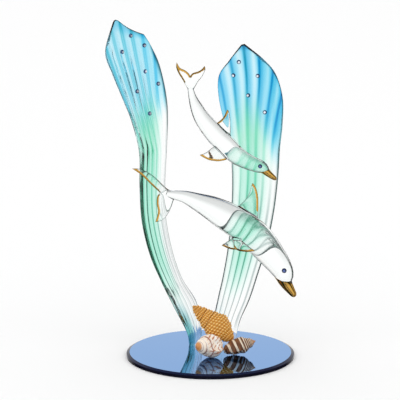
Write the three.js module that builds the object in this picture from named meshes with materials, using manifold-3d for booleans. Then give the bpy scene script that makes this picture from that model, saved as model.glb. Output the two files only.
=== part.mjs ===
// A lampworked glass ornament: two clear dolphins dive between two fluted glass plumes of water that
// stand on a round blue mirror, with three sea shells at their feet and small crystals on the plumes.
// Millimetres, +Z up, the viewer at -Y, and the origin at the centre of the mirror's underside.
import * as THREE from "three";
import { mergeVertices } from "three/addons/utils/BufferGeometryUtils.js";
import Module from "manifold-3d";

const wasm = await Module();
wasm.setup();

// The mirror
const MIRROR_DIAMETER = 129;
const MIRROR_THICKNESS = 3.5;
const BEVEL_WIDTH = 2.3;
const BEVEL_DROP = 1;
const MIRROR_SIDES = 72;

// What touches or is fused keeps this gap, the width of the glue or weld line
const JOINT_GAP = 0.3;

// The plumes of water: heights above the mirror, and where their feet stand on it
const LEFT_PLUME_HEIGHT = 250;
const LEFT_FOOT_X = -12;
const LEFT_FOOT_Y = 18;
const RIGHT_PLUME_HEIGHT = 236;
const RIGHT_FOOT_X = 11;
const RIGHT_FOOT_Y = 23;
const STEM_THICKNESS = 8.5;
const FAN_THICKNESS = 5;
const RIB_RELIEF = 0.4;
const PLUME_RIBS = 6;
const FAN_FOLD_DEPTH = 1;
const FAN_FOLDS = 5;

// The dolphins: length from the root of the tail to the tip of the beak, along a straight line
const LARGE_DOLPHIN_LENGTH = 125;
const SMALL_DOLPHIN_LENGTH = 94;
const FIN_ROOT_THICKNESS = 3.4;
const FIN_TIP_THICKNESS = 1.2;
const LARGE_EYE_DIAMETER = 3.9;
const SMALL_EYE_DIAMETER = 3.4;

// The crystals glued to the plumes
const CRYSTAL_DIAMETER = 3.4;
const CRYSTAL_SIDES = 8;

// The sea shells: length from the apex to the end of the canal, and the apex's place over the mirror
const WHELK_LENGTH = 41;
const WHELK_X = -14;
const WHELK_Z = 38.8;
const TURBAN_LENGTH = 25;
const TURBAN_X = -10.5;
const TURBAN_Y = -27.5;
const BANDED_LENGTH = 26;
const BANDED_X = 34.8;
const BANDED_Y = -10.3;

const UP = new THREE.Vector3(0, 0, 1);
const DOWN = new THREE.Vector3(0, 0, -1);
const BACK = new THREE.Vector3(0, 1, 0);
const FRONT = new THREE.Vector3(0, -1, 0);
const MIRROR_TOP = MIRROR_THICKNESS;

const smoothstep = THREE.MathUtils.smoothstep;
const lerp = THREE.MathUtils.lerp;

// A surface finish, and below the ones for each kind of glass and shell
function material(color, roughness, extra = {}) {
  return new THREE.MeshStandardMaterial({ color, roughness, metalness: 0, ...extra });
}

const GLASS = { transparent: true, opacity: 0.45 };
const PLUME_GLASS = material(0x7cc9dc, 0.05, GLASS);
const CLEAR_GLASS = material(0xe4f1ec, 0.05, GLASS);
const CRYSTAL = material(0xcfe0f4, 0.05, GLASS);
const EYE_GLASS = material(0x1d2a5e, 0.1);
const MIRROR_GLASS = material(0x6f97d2, 0.05, { metalness: 0.8 });
const WHELK_SHELL = material(0xd08a2a, 0.5);
const TURBAN_SHELL = material(0xecd2bd, 0.45);
const BANDED_SHELL = material(0x8a5a36, 0.45);

// A geometry's signed volume, which is negative when its faces point inwards
function volumeOf(geometry) {
  const at = geometry.getAttribute("position");
  const [a, b, c] = [new THREE.Vector3(), new THREE.Vector3(), new THREE.Vector3()];
  let volume = 0;
  for (let i = 0; i < geometry.index.count; i += 3) {
    a.fromBufferAttribute(at, geometry.index.getX(i));
    b.fromBufferAttribute(at, geometry.index.getX(i + 1));
    c.fromBufferAttribute(at, geometry.index.getX(i + 2));
    volume += a.dot(b.cross(c)) / 6;
  }
  return volume;
}

// Merges a geometry's equal vertices and turns its faces outwards
function closed(geometry) {
  const bare = geometry.clone();
  bare.deleteAttribute("normal");
  bare.deleteAttribute("uv");
  const merged = mergeVertices(bare, 1e-4);
  const index = merged.index.array;
  if (volumeOf(merged) < 0)
    for (let i = 0; i < index.length; i += 3) [index[i + 1], index[i + 2]] = [index[i + 2], index[i + 1]];
  return merged;
}

// A skin over rings of points, with a fan over each end that is not already shut
function loft(rings, { startCap = true, endCap = true } = {}) {
  const sides = rings[0].length;
  const points = rings.flat();
  const faces = [];
  for (let r = 0; r + 1 < rings.length; r++)
    for (let k = 0; k < sides; k++) {
      const [a, b] = [r * sides + k, r * sides + ((k + 1) % sides)];
      faces.push(a, b, b + sides, a, b + sides, a + sides);
    }
  const cap = (ring, first, turned) => {
    const centre = ring.reduce((sum, p) => sum.add(p), new THREE.Vector3()).divideScalar(sides);
    const hub = points.push(centre) - 1;
    for (let k = 0; k < sides; k++) {
      const [a, b] = [first + k, first + ((k + 1) % sides)];
      faces.push(hub, turned ? a : b, turned ? b : a);
    }
  };
  if (startCap) cap(rings[0], 0, false);
  if (endCap) cap(rings.at(-1), (rings.length - 1) * sides, true);
  return closed(new THREE.BufferGeometry().setFromPoints(points).setIndex(faces));
}

// One solid from several overlapping ones
function fused(geometries) {
  const solids = geometries.map(
    (g) =>
      new wasm.Manifold(
        new wasm.Mesh({
          numProp: 3,
          vertProperties: new Float32Array(g.getAttribute("position").array),
          triVerts: new Uint32Array(g.index.array),
        }),
      ),
  );
  const mesh = solids.reduce((whole, s) => whole.add(s)).getMesh();
  return new THREE.BufferGeometry()
    .setAttribute("position", new THREE.BufferAttribute(mesh.vertProperties, 3))
    .setIndex(new THREE.BufferAttribute(mesh.triVerts, 1));
}

// An even curve through points
function curveThrough(points) {
  return new THREE.CatmullRomCurve3(points, false, "catmullrom", 0.5);
}

// A value along a list of [position, value] pairs, eased between them
function along(pairs, position) {
  const next = pairs.findIndex(([p]) => p >= position);
  if (next <= 0) return pairs.at(next).at(1);
  const [[p0, v0], [p1, v1]] = [pairs[next - 1], pairs[next]];
  return lerp(v0, v1, smoothstep(position, p0, p1));
}

// World points of a mesh: its vertices and the middles of its faces
function samples(mesh) {
  const at = mesh.geometry.getAttribute("position");
  const index = mesh.geometry.index;
  const points = [];
  for (let i = 0; i < at.count; i++) points.push(new THREE.Vector3().fromBufferAttribute(at, i));
  for (let i = 0; i < index.count; i += 3) {
    const middle = new THREE.Vector3();
    for (let k = 0; k < 3; k++) middle.add(points[index.getX(i + k)]);
    points.push(middle.divideScalar(3));
  }
  return points.map((p) => p.applyMatrix4(mesh.matrixWorld));
}

// How far meshes that move together can go in a direction before they meet one of the others
function freeTravel(movers, others, direction) {
  const ray = new THREE.Raycaster();
  const back = direction.clone().negate();
  let travel = Infinity;
  for (const mesh of [...movers, ...others]) mesh.updateWorldMatrix(true, false);
  const cast = (points, way, targets) => {
    for (const point of points) {
      ray.set(point, way);
      ray.far = travel;
      const [hit] = ray.intersectObjects(targets, false);
      if (hit) travel = Math.min(travel, hit.distance);
    }
  };
  for (const mover of movers) cast(samples(mover), direction, others);
  for (const other of others) cast(samples(other), back, movers);
  return travel;
}

// Moves a mesh, or a group of meshes, in a direction until only the joint gap is left.
// It starts from well outside the others, so that it comes to rest on their outer side.
function seat(mover, others, direction, runUp = 0) {
  mover.position.addScaledVector(direction, -runUp);
  const travel = freeTravel(mover.isGroup ? mover.children : [mover], others, direction);
  if (!Number.isFinite(travel)) throw new Error(mover.name + " meets nothing to rest on");
  mover.position.addScaledVector(direction, travel - JOINT_GAP);
}

function piece(name, geometry, finish) {
  const mesh = new THREE.Mesh(geometry, finish);
  mesh.name = name;
  return mesh;
}

// The mirror: a disc with a bevelled upper edge
function mirrorBase() {
  const rim = MIRROR_DIAMETER / 2;
  const profile = [
    [0, 0],
    [rim, 0],
    [rim, MIRROR_THICKNESS - BEVEL_DROP],
    [rim - BEVEL_WIDTH, MIRROR_THICKNESS],
    [0, MIRROR_THICKNESS],
  ].map(([r, z]) => new THREE.Vector2(r, z));
  const disc = new THREE.LatheGeometry(profile, MIRROR_SIDES).rotateX(Math.PI / 2);
  return piece("mirror_base", closed(disc), MIRROR_GLASS);
}

// A plume's two edges as rungs, foot to crest, in hundredths of its height from the middle of its foot:
// [x, y, z] of the left end, then of the right end
const LEFT_RUNGS = [
  [[-1.8, 0, 0], [1.8, 0, 0]],
  [[-2.6, -0.8, 4.2], [2.1, 0.4, 4.4]],
  [[-6.7, -2, 12.8], [0.5, 0.6, 13.5]],
  [[-10.2, -3, 20.5], [-4, 0.8, 21]],
  [[-13.8, -3.8, 29.6], [-6.9, 0.8, 29.4]],
  [[-16.1, -4.4, 40], [-8.9, 0.8, 39.7]],
  [[-16.7, -4.4, 51], [-9.2, 0.8, 50.2]],
  [[-16.8, -4.8, 61.4], [-8.6, 0.8, 61.4]],
  [[-19, -6, 71], [-8.2, 1.2, 71.8]],
  [[-21.4, -7.4, 77.6], [-8.8, 1.4, 79]],
  [[-24.4, -8.8, 85.4], [-10.6, 0.6, 87.2]],
  [[-26.5, -9.4, 92.2], [-12.8, -0.6, 92.6]],
  [[-24.4, -8.6, 100.4], [-15.2, -2.6, 96.9]],
];
const RIGHT_RUNGS = [
  [[-3.4, 0.4, 0], [3.6, -0.4, 0]],
  [[-3.6, 0.4, 7], [5.2, -0.8, 7.4]],
  [[-2.2, 0, 15], [8.4, -1.6, 15.2]],
  [[-0.5, -0.5, 23], [11.1, -2.4, 24]],
  [[1.1, -1.2, 33], [13.9, -3.6, 34]],
  [[2.1, -1.7, 44], [16, -4.6, 45]],
  [[2.4, -1.7, 55], [17.2, -5.1, 56]],
  [[1.8, -1.6, 65], [17.7, -5.6, 66]],
  [[0, -1.2, 73], [18.4, -6.3, 74]],
  [[-2, -0.9, 82], [18.4, -6.6, 82.4]],
  [[-2, -1.3, 89], [16.2, -6.2, 90]],
  [[1.2, -2.4, 94], [12.2, -5.3, 94.8]],
  [[5.1, -3.8, 99.3], [6.2, -4.2, 99.6]],
];
const SIDE_SAMPLES = 22;
const PLUME_STEPS = 22;
// Share of the plume's length over which the crest rounds off, and the ring that rounds it
const CREST_SHARE = 0.05;
const CREST_RING = 0.7;

// One plume: a thick sheet between its two edges, narrow and ribbed below, fanned and folded above.
// spread gives the fan's outer folds, low and high, as [x of the left one, x of the right one, z] in
// hundredths of the height. crest is the height of the off-centre tip, and cup how far the fan is
// hollowed, as a share of its width.
function makePlume(name, height, footX, footY, rungs, { spread, crest, tipAt, cup }) {
  const toPoint = ([x, y, z]) => new THREE.Vector3(x, y, z).multiplyScalar(height / 100);
  const edges = [0, 1].map((side) => curveThrough(rungs.map((rung) => toPoint(rung[side]))));

  // The height of the folds' wave, from -1 to 1, at a point of the sheet
  const foldWave = (point) => {
    const [low, high] = spread;
    const up = Math.max(0, ((100 * point.z) / height - low[2]) / (high[2] - low[2]));
    const [from, to] = [0, 1].map((side) => (lerp(low[side], high[side], up) * height) / 100);
    return Math.cos((2 * Math.PI * FAN_FOLDS * (point.x - from)) / (to - from));
  };

  // The surface at t from foot to crest, s from the left edge to the right, and side 1 in front or -1 behind
  const surface = (t, s, side) => {
    const [left, right] = edges.map((edge) => edge.getPoint(t));
    const across = right.clone().sub(left);
    const width = across.length();
    const front = new THREE.Vector3(across.y, -across.x, 0).normalize();
    const fan = smoothstep(t, 0.5, 0.85);
    const round = Math.sqrt(Math.max(0, 4 * s * (1 - s)));
    const beyond = THREE.MathUtils.clamp((t - (1 - CREST_SHARE)) / CREST_SHARE, 0, 1);
    const fade = Math.sqrt(1 - beyond * beyond);
    const sheet = left.add(across.multiplyScalar(s));
    const ribs = Math.cos(2 * Math.PI * PLUME_RIBS * s) * (1 - fan);
    const folds = foldWave(sheet) * fan * (1 - smoothstep(t, 0.9, 1));
    const half = (lerp(STEM_THICKNESS, FAN_THICKNESS, fan) / 2) * round;
    const relief = (RIB_RELIEF / 2) * ribs * round;
    const fold = (FAN_FOLD_DEPTH / 2) * folds * round;
    const hollow = cup * fan * width * 4 * s * (1 - s);
    const raised = (crest * height * smoothstep(t, 0.88, 1) * s * Math.exp(1 - s / tipAt)) / tipAt;
    const forward = side * fade * (half - relief) - fold - hollow;
    return sheet.addScaledVector(front, forward).addScaledVector(UP, raised);
  };

  const steps = [];
  for (let i = 0; i < PLUME_STEPS; i++) steps.push((i / (PLUME_STEPS - 1)) * (1 - CREST_SHARE));
  steps.push(1 - CREST_SHARE * (1 - CREST_RING), 1);
  const shares = [];
  for (let k = 0; k <= SIDE_SAMPLES; k++) {
    const even = k / SIDE_SAMPLES;
    shares.push(lerp((1 - Math.cos(Math.PI * even)) / 2, even, 0.65));
  }
  const rings = steps.map((t) => [
    ...shares.map((s) => surface(t, s, 1)),
    ...shares.slice(1, -1).reverse().map((s) => surface(t, s, -1)),
  ]);
  const mesh = piece(name, loft(rings, { endCap: false }), PLUME_GLASS);
  mesh.position.set(footX, footY, MIRROR_TOP + JOINT_GAP);

  // The front surface's point and outward normal at a share of the height and a share s across
  const frontAt = (share, s) => {
    let [low, high] = [0, 1 - CREST_SHARE / 2];
    while (high - low > 1e-4) {
      const middle = (low + high) / 2;
      if (surface(middle, s, 1).z < share * height) low = middle;
      else high = middle;
    }
    const point = surface(low, s, 1);
    const rise = surface(low + 0.01, s, 1).sub(surface(low - 0.01, s, 1));
    const run = surface(low, s + 0.05, 1).sub(surface(low, s - 0.05, 1));
    return { point: point.add(mesh.position), normal: run.cross(rise).normalize() };
  };
  return { mesh, frontAt };
}

// A cut crystal with a flat back, its back at the origin and its table up
function crystalShape(diameter) {
  const radius = diameter / 2;
  const profile = [
    [0, 0],
    [radius, 0],
    [radius, 0.25 * radius],
    [0.55 * radius, 0.75 * radius],
    [0, 0.75 * radius],
  ].map(([r, z]) => new THREE.Vector2(r, z));
  return closed(new THREE.LatheGeometry(profile, CRYSTAL_SIDES).rotateX(Math.PI / 2));
}

// Crystals glued to a plume's front, each at [share of the height, share across]
function crystalsOn(plume, side, places) {
  return places.map(([share, s], i) => {
    const mesh = piece(`${side}_crystal_${i + 1}`, crystalShape(CRYSTAL_DIAMETER), CRYSTAL);
    const { point, normal } = plume.frontAt(share, s);
    mesh.quaternion.setFromUnitVectors(UP, normal);
    mesh.position.copy(point);
    seat(mesh, [plume.mesh], normal.clone().negate(), 2 * CRYSTAL_DIAMETER);
    return mesh;
  });
}

const LEFT_CRYSTALS = [
  [0.937, 0.84],
  [0.921, 0.33],
  [0.968, 0.55],
  [0.858, 0.65],
  [0.8, 0.35],
  [0.818, 0.85],
  [0.731, 0.47],
];
const RIGHT_CRYSTALS = [[0.938, 0.3], [0.894, 0.26], [0.894, 0.68], [0.83, 0.47], [0.778, 0.71]];

// The dolphins, in hundredths of their length, from the point of the chest that meets the plume.
// Body: [x, z, half thickness] along the spine, tail first. Fins: [x, z, y] along the leading and the
// trailing edge, root to tip, with y away from the viewer.
const LARGE_BODY = [
  [-52.7, 22.9, 1.8],
  [-48.5, 22.4, 2.7],
  [-41.2, 21.2, 3.9],
  [-33.4, 18.3, 5.6],
  [-25, 14.8, 7.5],
  [-16.4, 10.3, 8.9],
  [-7.9, 5.3, 9.4],
  [0, 0, 9.5],
  [6.3, -6.6, 9.2],
  [12, -13.4, 8.2],
  [15.9, -18.4, 7.4],
  [18.6, -22.8, 6.5],
  [19.7, -26.2, 5.7],
  [20.3, -28.8, 4.6],
  [21.3, -31.1, 3.6],
  [22.8, -33.4, 3],
  [24.4, -35.7, 2.4],
  [25.6, -37.4, 1.9],
  [26.4, -38.5, 0.9],
];
const LARGE_FINS = [
  {
    lead: [[3, 6, 0], [3.6, 15, 0], [3.3, 23.2, 0], [1.9, 28.4, 0], [-0.2, 31.4, 0]],
    trail: [[-12, 14, 0], [-5.6, 19.8, 0], [-2.3, 24.6, 0], [-1.1, 29, 0], [-0.2, 31.4, 0]],
  },
  {
    lead: [[-49.5, 24.4, 0], [-53.7, 27.3, -0.6], [-60.7, 34.6, -3], [-67.2, 38.8, -6], [-73, 39.6, -8.5]],
    trail: [[-54, 20.6, 0], [-58, 24.4, -0.6], [-62.3, 29, -3], [-67.4, 35, -6], [-73, 39.6, -8.5]],
  },
  {
    lead: [[-47.6, 22.4, 0], [-49.8, 15, -0.6], [-52.2, 10, -1.6], [-55.4, 6.7, -2.6], [-59.5, 5.6, -3.6]],
    trail: [[-54.6, 24.4, 0], [-58.5, 21.9, -0.6], [-59, 17, -1.6], [-58, 12, -2.6], [-59.5, 5.6, -3.6]],
  },
  {
    lead: [[-7, 2, 1], [-12.7, -3.5, 2.4], [-16.4, -6.5, 3.4], [-19.8, -9, 4]],
    trail: [[-5.4, -6.5, 1], [-9.7, -10.9, 2.4], [-14.6, -11, 3.4], [-19.8, -9, 4]],
  },
  {
    lead: [[-10.4, 1, -4], [-5, -3, -8.5], [-0.6, -5.8, -11], [3.4, -8.2, -12.6]],
    trail: [[-11.6, -3.6, -4], [-9.4, -8.4, -8.5], [-3, -9.4, -11], [3.4, -8.2, -12.6]],
  },
];
const LARGE_EYE_AT = [20.3, -21];
const SMALL_BODY = [
  [-37.4, 53.3, 2.2],
  [-35.7, 46.1, 3.3],
  [-32.6, 38.1, 5],
  [-28.5, 30, 6.3],
  [-22.6, 22.3, 7.3],
  [-16.1, 15, 7.9],
  [-8.5, 8.1, 8],
  [0, 0, 7.5],
  [8.5, -4.9, 6.5],
  [15.3, -7.6, 5.8],
  [19.6, -9, 5.3],
  [22.5, -10.7, 4.4],
  [24.4, -12.7, 3.3],
  [26.8, -14.8, 2.7],
  [29.6, -16.9, 2.2],
  [31.8, -18.5, 1.7],
  [32.9, -19.3, 0.8],
];
const SMALL_FINS = [
  {
    lead: [[-4.4, 10, 0], [-4.4, 20.3, 0], [-4.9, 30, 0], [-6, 35.2, 0], [-7.4, 36.9, 0]],
    trail: [[-19, 23.4, 0], [-14.1, 27, 0], [-10.5, 30.6, 0], [-8.5, 34.5, 0], [-7.4, 36.9, 0]],
  },
  {
    lead: [[-38.6, 50.1, 0], [-43, 58.7, -1], [-46.6, 64.9, -2.4], [-48.4, 70.2, -3.6], [-47.8, 74.8, -4.6]],
    trail: [[-35, 54.1, 0], [-37.4, 63.7, -1], [-40.8, 67.7, -2.4], [-45, 69.9, -3.6], [-47.8, 74.8, -4.6]],
  },
  {
    lead: [[-35.8, 50.1, 0], [-31.4, 58, 1], [-28, 62.7, 2.4], [-25.8, 67.9, 3.6], [-26.5, 71.3, 4.6]],
    trail: [[-39.4, 54.1, 0], [-37.2, 64.1, 1], [-31.4, 66.8, 2.4], [-28.6, 68.6, 3.6], [-26.5, 71.3, 4.6]],
  },
  {
    lead: [[-13.3, 9.8, -3], [-19, 6.1, -6.5], [-23.3, 2.8, -9], [-28.4, 0.7, -10.5]],
    trail: [[-2, -1.6, -3], [-10.9, -4.5, -6.5], [-20.5, -3.6, -9], [-28.4, 0.7, -10.5]],
  },
  {
    lead: [[-12.3, 7.8, 3], [-17, 4.6, 5.5], [-20.8, 1.4, 7.5], [-25, -1.6, 9]],
    trail: [[-4, -1, 3], [-10, -5, 5.5], [-18, -5, 7.5], [-25, -1.6, 9]],
  },
];
const SMALL_EYE_AT = [20.4, -7.8];
const BODY_STEPS = 25;
const BODY_SIDES = 12;
const FIN_STEPS = 6;
const FIN_SIDES = 6;
// A body is a little narrower than it is deep
const BODY_WIDTH_SHARE = 0.92;

// A dolphin's fin: a thin blade between its leading and trailing edge
function finShape({ lead, trail }, unit) {
  const toPoint = ([x, z, y]) => new THREE.Vector3(x, y, z).multiplyScalar(unit);
  const edge = (points) => curveThrough(points.map(toPoint));
  const [front, rear] = [edge(lead), edge(trail)];
  const middle = (t) => front.getPoint(t).lerp(rear.getPoint(t), 0.5);
  const rings = [];
  for (let i = 0; i <= FIN_STEPS; i++) {
    const t = (0.97 * i) / FIN_STEPS;
    const from = front.getPoint(t);
    const chord = rear.getPoint(t).sub(from);
    const flat = chord.clone().cross(middle(Math.min(1, t + 0.05)).sub(middle(Math.max(0, t - 0.05))));
    flat.normalize().multiplyScalar(lerp(FIN_ROOT_THICKNESS, FIN_TIP_THICKNESS, Math.sqrt(t)) / 2);
    rings.push(
      Array.from({ length: FIN_SIDES }, (_, k) => {
        const turn = (2 * Math.PI * k) / FIN_SIDES;
        return from
          .clone()
          .addScaledVector(chord, (1 - Math.cos(turn)) / 2)
          .addScaledVector(flat, Math.sin(turn));
      }),
    );
  }
  return loft(rings);
}

// A dolphin's body: round rings along the spine
function bodyShape(stations, unit) {
  const spine = curveThrough(stations.map(([x, z]) => new THREE.Vector3(x, 0, z)));
  const girth = curveThrough(stations.map(([, , half]) => new THREE.Vector3(half, 0, 0)));
  const rings = [];
  for (let i = 0; i <= BODY_STEPS; i++) {
    const t = i / BODY_STEPS;
    const centre = spine.getPoint(t).multiplyScalar(unit);
    const half = girth.getPoint(t).x * unit;
    const up = spine.getTangent(t).cross(BACK);
    rings.push(
      Array.from({ length: BODY_SIDES }, (_, k) => {
        const turn = (2 * Math.PI * k) / BODY_SIDES;
        return centre
          .clone()
          .addScaledVector(up, half * Math.cos(turn))
          .addScaledVector(BACK, half * BODY_WIDTH_SHARE * Math.sin(turn));
      }),
    );
  }
  return loft(rings);
}

// A dolphin with its two eyes, as a group whose origin is the point of its chest that meets the plume
function makeDolphin(name, length, stations, fins, [eyeX, eyeZ], eyeDiameter) {
  const unit = length / 100;
  const group = new THREE.Group();
  const body = fused([bodyShape(stations, unit), ...fins.map((fin) => finShape(fin, unit))]);
  const mesh = piece(name, body, CLEAR_GLASS);
  const eyes = [["near", FRONT], ["far", BACK]].map(([side, way]) => {
    const eye = piece(`${name}_eye_${side}`, crystalShape(eyeDiameter), EYE_GLASS);
    eye.quaternion.setFromUnitVectors(UP, way);
    eye.position.set(eyeX * unit, 0, eyeZ * unit);
    seat(eye, [mesh], way.clone().negate(), length);
    return eye;
  });
  return group.add(mesh, ...eyes);
}

// The small dolphin is fused to the right plume's front by its chest
const SMALL_WELD = [0.642, 0.12];
const SMALL_YAW = THREE.MathUtils.degToRad(-10);

function placeSmallDolphin(dolphin, rightPlume) {
  dolphin.rotation.z = SMALL_YAW;
  dolphin.position.copy(rightPlume.frontAt(...SMALL_WELD).point);
  seat(dolphin, [rightPlume.mesh], BACK, SMALL_DOLPHIN_LENGTH);
}

// The large dolphin lies against both plumes, its chest on the right one and its tail on the left one,
// so it turns about its chest until the tail meets the left plume too
const LARGE_WELD = [0.392, 0.56];
const TAIL_REACH = 0.45;
const TURNS = 5;

function placeLargeDolphin(dolphin, leftPlume, rightPlume) {
  dolphin.position.copy(rightPlume.frontAt(...LARGE_WELD).point);
  for (let i = 0; i < TURNS; i++) {
    seat(dolphin, [rightPlume.mesh], BACK, LARGE_DOLPHIN_LENGTH);
    const short = freeTravel(dolphin.children, [leftPlume.mesh], BACK) - JOINT_GAP;
    dolphin.rotation.z -= short / (TAIL_REACH * LARGE_DOLPHIN_LENGTH);
  }
  seat(dolphin, [leftPlume.mesh, rightPlume.mesh], BACK, LARGE_DOLPHIN_LENGTH);
}

// A coiled sea shell with its apex at the origin, its axis along +Z and the lip of its mouth towards +X.
// outline is [share of the length, radius as a share of the length], lastSuture is where the last whorl
// starts at the lip, growth how much further from the apex each whorl lies than the one before, groove
// the depth of the seam between whorls, mouth the depth of the opening, and flare how far the lip
// stands out, the last three as shares of the radius.
const SHELL_SIDES = 16;
const SHELL_STEPS = 18;

function shellShape(length, { outline, lastSuture, growth, groove, mouth, flare }) {
  const rings = [];
  for (let i = 0; i <= SHELL_STEPS; i++) {
    const share = lerp(0.015, 0.995, Math.pow(i / SHELL_STEPS, 1.15));
    const turns = Math.log(share / lastSuture) / Math.log(growth);
    const body = smoothstep(share, lastSuture, 0.6) * (1 - smoothstep(share, 0.8, 1));
    rings.push(
      Array.from({ length: SHELL_SIDES }, (_, k) => {
        const round = k / SHELL_SIDES;
        const whorl = turns - round;
        const seam = whorl > 0 ? 0 : 1 - Math.sqrt(Math.sin(Math.PI * (whorl - Math.floor(whorl))));
        const dent = mouth * body * Math.exp(-(((round - 0.9) / 0.08) ** 2));
        const lip = flare * body * Math.exp(-5 * round);
        const radius = along(outline, share) * length * (1 - groove * seam) * (1 - dent) * (1 + lip);
        const turn = 2 * Math.PI * round;
        return new THREE.Vector3(radius * Math.cos(turn), radius * Math.sin(turn), share * length);
      }),
    );
  }
  return loft(rings);
}

// A ribbed golden whelk, a low-spired turban shell and a banded whelk
const WHELK = {
  outline: [
    [0, 0.012],
    [0.12, 0.088],
    [0.25, 0.142],
    [0.45, 0.205],
    [0.6, 0.26],
    [0.75, 0.215],
    [0.88, 0.13],
    [1, 0.05],
  ],
  lastSuture: 0.34,
  growth: 1.55,
  groove: 0.14,
  mouth: 0.3,
  flare: 0.12,
};
const TURBAN = {
  outline: [
    [0, 0.03],
    [0.08, 0.14],
    [0.2, 0.23],
    [0.4, 0.31],
    [0.6, 0.325],
    [0.8, 0.26],
    [0.93, 0.16],
    [1, 0.1],
  ],
  lastSuture: 0.22,
  growth: 1.75,
  groove: 0.12,
  mouth: 0.3,
  flare: 0.4,
};
const BANDED = {
  outline: [[0, 0.01], [0.2, 0.15], [0.42, 0.25], [0.7, 0.23], [0.9, 0.15], [1, 0.07]],
  lastSuture: 0.4,
  growth: 1.5,
  groove: 0.1,
  mouth: 0.3,
  flare: 0.05,
};

// A shell whose axis points from its apex along one [x, y, z] and whose lip faces another
function makeShell(name, length, form, finish, { axis, lip }) {
  const mesh = piece(name, shellShape(length, form), finish);
  const lengthwise = new THREE.Vector3(...axis).normalize();
  const sideways = lengthwise.clone().cross(new THREE.Vector3(...lip)).normalize();
  const outward = sideways.clone().cross(lengthwise);
  mesh.quaternion.setFromRotationMatrix(new THREE.Matrix4().makeBasis(outward, sideways, lengthwise));
  return mesh;
}

// The turban and the banded shell lie on the mirror, and the whelk is glued to their backs
function placeShells(mirror) {
  const turban = makeShell("turban_shell", TURBAN_LENGTH, TURBAN, TURBAN_SHELL, {
    axis: [0.72, 0.68, -0.1],
    lip: [1, -0.8, -0.3],
  });
  turban.position.set(TURBAN_X, TURBAN_Y, TURBAN_LENGTH);
  seat(turban, [mirror], DOWN);
  const banded = makeShell("banded_shell", BANDED_LENGTH, BANDED, BANDED_SHELL, {
    axis: [-0.94, -0.1, -0.27],
    lip: [-0.2, -0.9, -0.4],
  });
  banded.position.set(BANDED_X, BANDED_Y, BANDED_LENGTH);
  seat(banded, [mirror], DOWN);
  const whelk = makeShell("whelk_shell", WHELK_LENGTH, WHELK, WHELK_SHELL, {
    axis: [0.76, -0.22, -0.61],
    lip: [-0.3, 0.9, -0.3],
  });
  whelk.position.set(WHELK_X, TURBAN_Y, WHELK_Z);
  seat(whelk, [turban, banded], FRONT, WHELK_LENGTH);
  return [turban, banded, whelk];
}

const mirror = mirrorBase();
const leftPlume = makePlume("left_plume", LEFT_PLUME_HEIGHT, LEFT_FOOT_X, LEFT_FOOT_Y, LEFT_RUNGS, {
  spread: [[-15.5, -9.5, 61.4], [-29, -13.5, 100]],
  crest: 0.018,
  tipAt: 0.16,
  cup: 0.05,
});
const rightPlume = makePlume("right_plume", RIGHT_PLUME_HEIGHT, RIGHT_FOOT_X, RIGHT_FOOT_Y, RIGHT_RUNGS, {
  spread: [[5, 15, 55], [-5, 20, 100]],
  crest: 0,
  tipAt: 0.5,
  cup: 0.08,
});
const plumes = [leftPlume.mesh, rightPlume.mesh];
const large = makeDolphin(
  "large_dolphin",
  LARGE_DOLPHIN_LENGTH,
  LARGE_BODY,
  LARGE_FINS,
  LARGE_EYE_AT,
  LARGE_EYE_DIAMETER,
);
const small = makeDolphin(
  "small_dolphin",
  SMALL_DOLPHIN_LENGTH,
  SMALL_BODY,
  SMALL_FINS,
  SMALL_EYE_AT,
  SMALL_EYE_DIAMETER,
);
placeLargeDolphin(large, leftPlume, rightPlume);
placeSmallDolphin(small, rightPlume);

const ornament = new THREE.Group();
ornament.add(
  mirror,
  ...plumes,
  large,
  small,
  ...placeShells(mirror),
  ...crystalsOn(leftPlume, "left", LEFT_CRYSTALS),
  ...crystalsOn(rightPlume, "right", RIGHT_CRYSTALS),
);

export default ornament;
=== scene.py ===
import math

import bmesh
import bpy
import numpy as np
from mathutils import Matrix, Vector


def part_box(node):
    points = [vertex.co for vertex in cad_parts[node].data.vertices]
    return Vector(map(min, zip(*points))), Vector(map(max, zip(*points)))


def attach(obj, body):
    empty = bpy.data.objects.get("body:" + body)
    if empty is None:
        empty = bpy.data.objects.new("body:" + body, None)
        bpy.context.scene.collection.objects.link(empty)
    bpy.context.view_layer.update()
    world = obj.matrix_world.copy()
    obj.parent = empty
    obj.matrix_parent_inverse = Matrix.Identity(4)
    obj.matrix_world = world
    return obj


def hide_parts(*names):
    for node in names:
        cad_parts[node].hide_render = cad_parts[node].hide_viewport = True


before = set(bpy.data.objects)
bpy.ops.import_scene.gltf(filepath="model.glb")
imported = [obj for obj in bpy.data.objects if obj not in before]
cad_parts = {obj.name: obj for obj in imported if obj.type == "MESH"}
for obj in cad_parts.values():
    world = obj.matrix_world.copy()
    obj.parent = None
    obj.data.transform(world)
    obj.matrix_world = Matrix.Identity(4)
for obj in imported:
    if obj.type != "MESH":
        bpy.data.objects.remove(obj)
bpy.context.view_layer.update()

MM = 0.001
BODY = "root"

# Two directions count as the same when their dot product is above this
SAME_WAY = 0.95

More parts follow.
